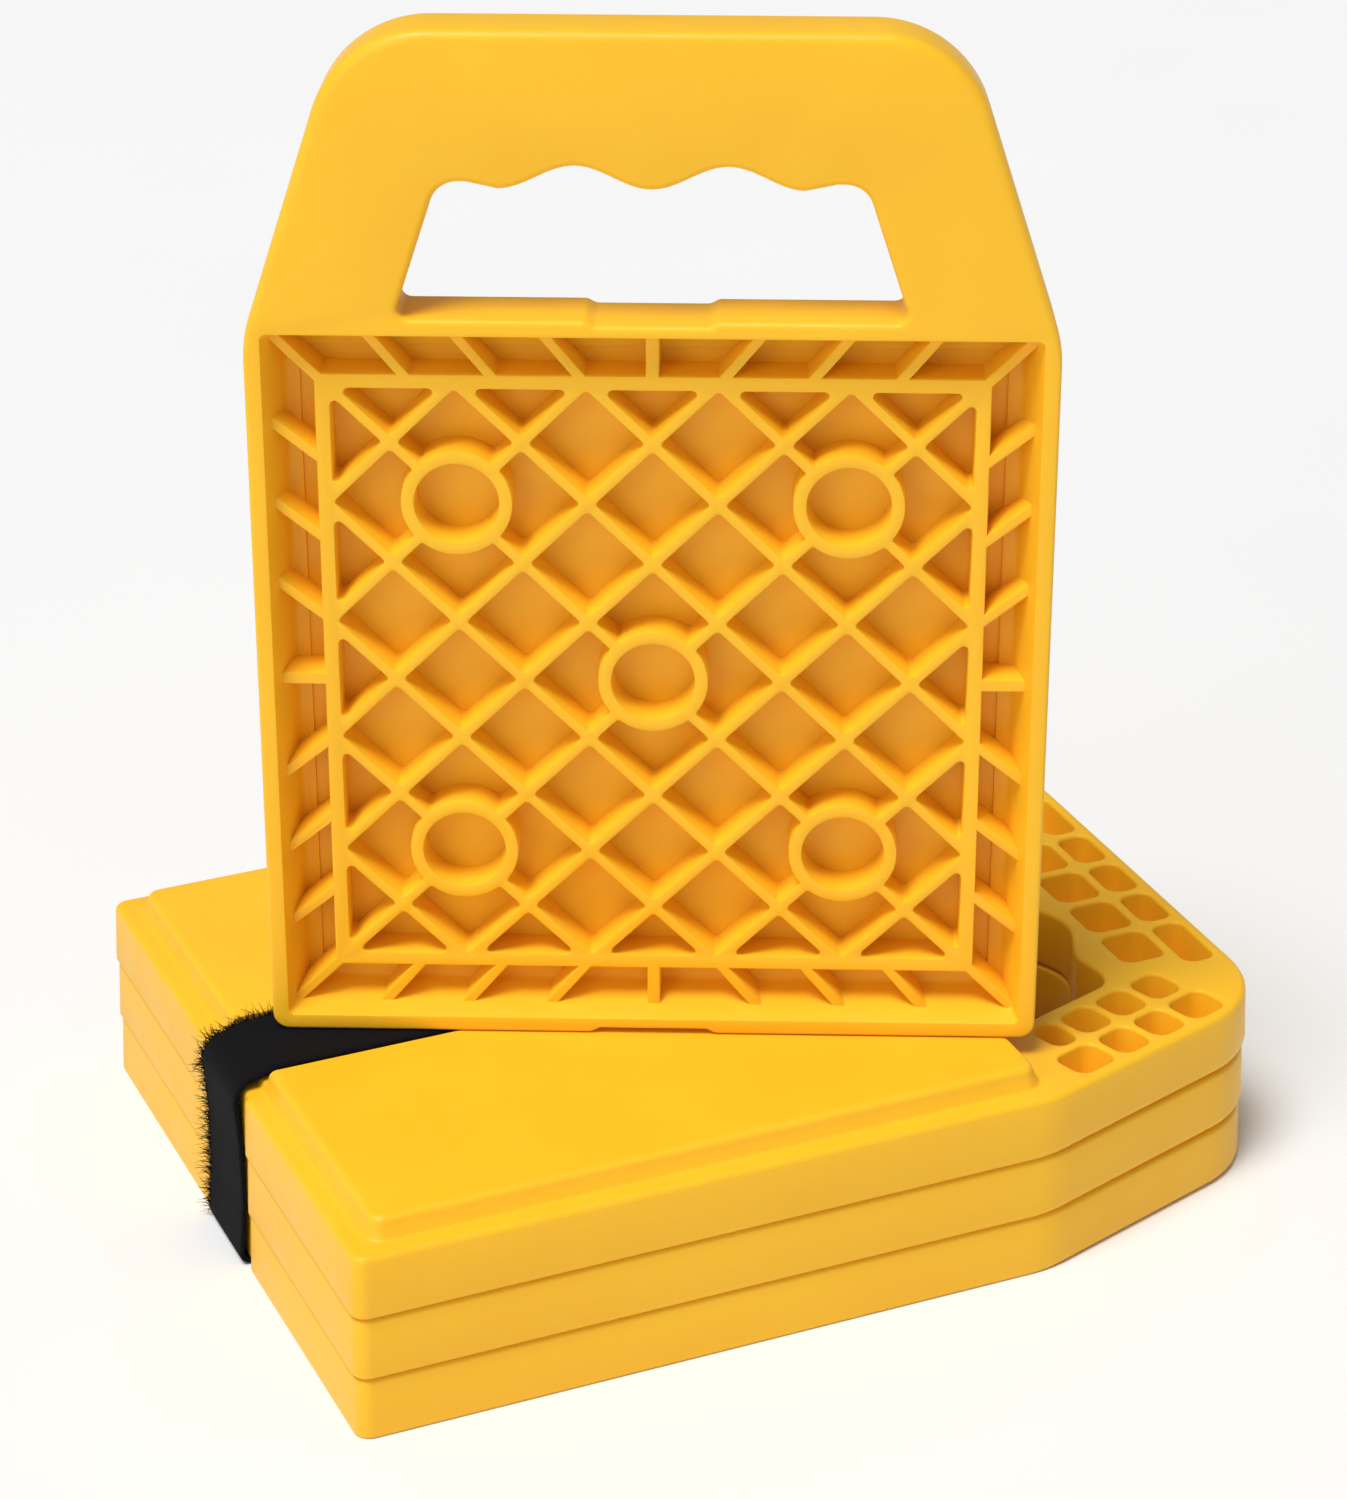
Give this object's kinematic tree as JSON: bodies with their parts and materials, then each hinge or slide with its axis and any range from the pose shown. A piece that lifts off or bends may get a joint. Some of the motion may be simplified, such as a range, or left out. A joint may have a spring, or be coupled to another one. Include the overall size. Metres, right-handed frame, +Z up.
{
  "type": "leveling block set",
  "caption": "Ribbed plastic levelling blocks with hand holes: a nested, strapped stack and a loose block standing on it. Each block spreads a jack or wheel load.",
  "frame": {"origin": "middle of the set's footprint, on the floor", "axes": "+Z up, -Y the way the standing block's ribbed underside faces, +X to the right seen from there"},
  "size_m": [0.3582, 0.3082, 0.3794],
  "materials": {
    "block_plastic": "satin yellow, fine moulded grain",
    "loop_webbing": "black brushed loop pile",
    "hook_tape": "black hook tape",
    "ring_plastic": "black moulded plastic",
    "thread": "black sewing thread"
  },
  "bodies": {
    "stack_base": {"block_bottom": "block_plastic", "strap_webbing": "loop_webbing"},
    "middle_block": {"block_middle": "block_plastic"},
    "top_block": {"block_top": "block_plastic", "strap_ring": "ring_plastic", "strap_stitching": "thread"},
    "loose_block": {"block_standing": "block_plastic"},
    "strap_end": {"strap_tail": "loop_webbing", "strap_hook_patch": "hook_tape"}
  },
  "joints": [
    {"name": "block_top_lift", "type": "slide", "parent": "stack_base", "child": "top_block", "axis": [0, 0, 1], "range_m": [0, 0.016], "deforming": ["strap_webbing"]},
    {"name": "block_middle_lift", "type": "slide", "parent": "stack_base", "child": "middle_block", "axis": [0, 0, 1], "range_m": [0, 0.008]},
    {"name": "standing_block_lift", "type": "slide", "parent": "top_block", "child": "loose_block", "axis": [0, 0, 1], "range_m": [0, 0.06]},
    {"name": "strap_tail_peel", "type": "hinge", "parent": "top_block", "child": "strap_end", "pos_m": [0.02386, 0.02069, 0.073], "axis": [0.4226, -0.9063, 0], "range_deg": [0, 110]}
  ],
  "couplings": [
    {"joint": "block_middle_lift", "follows": "block_top_lift", "ratio": 0.5}
  ]
}
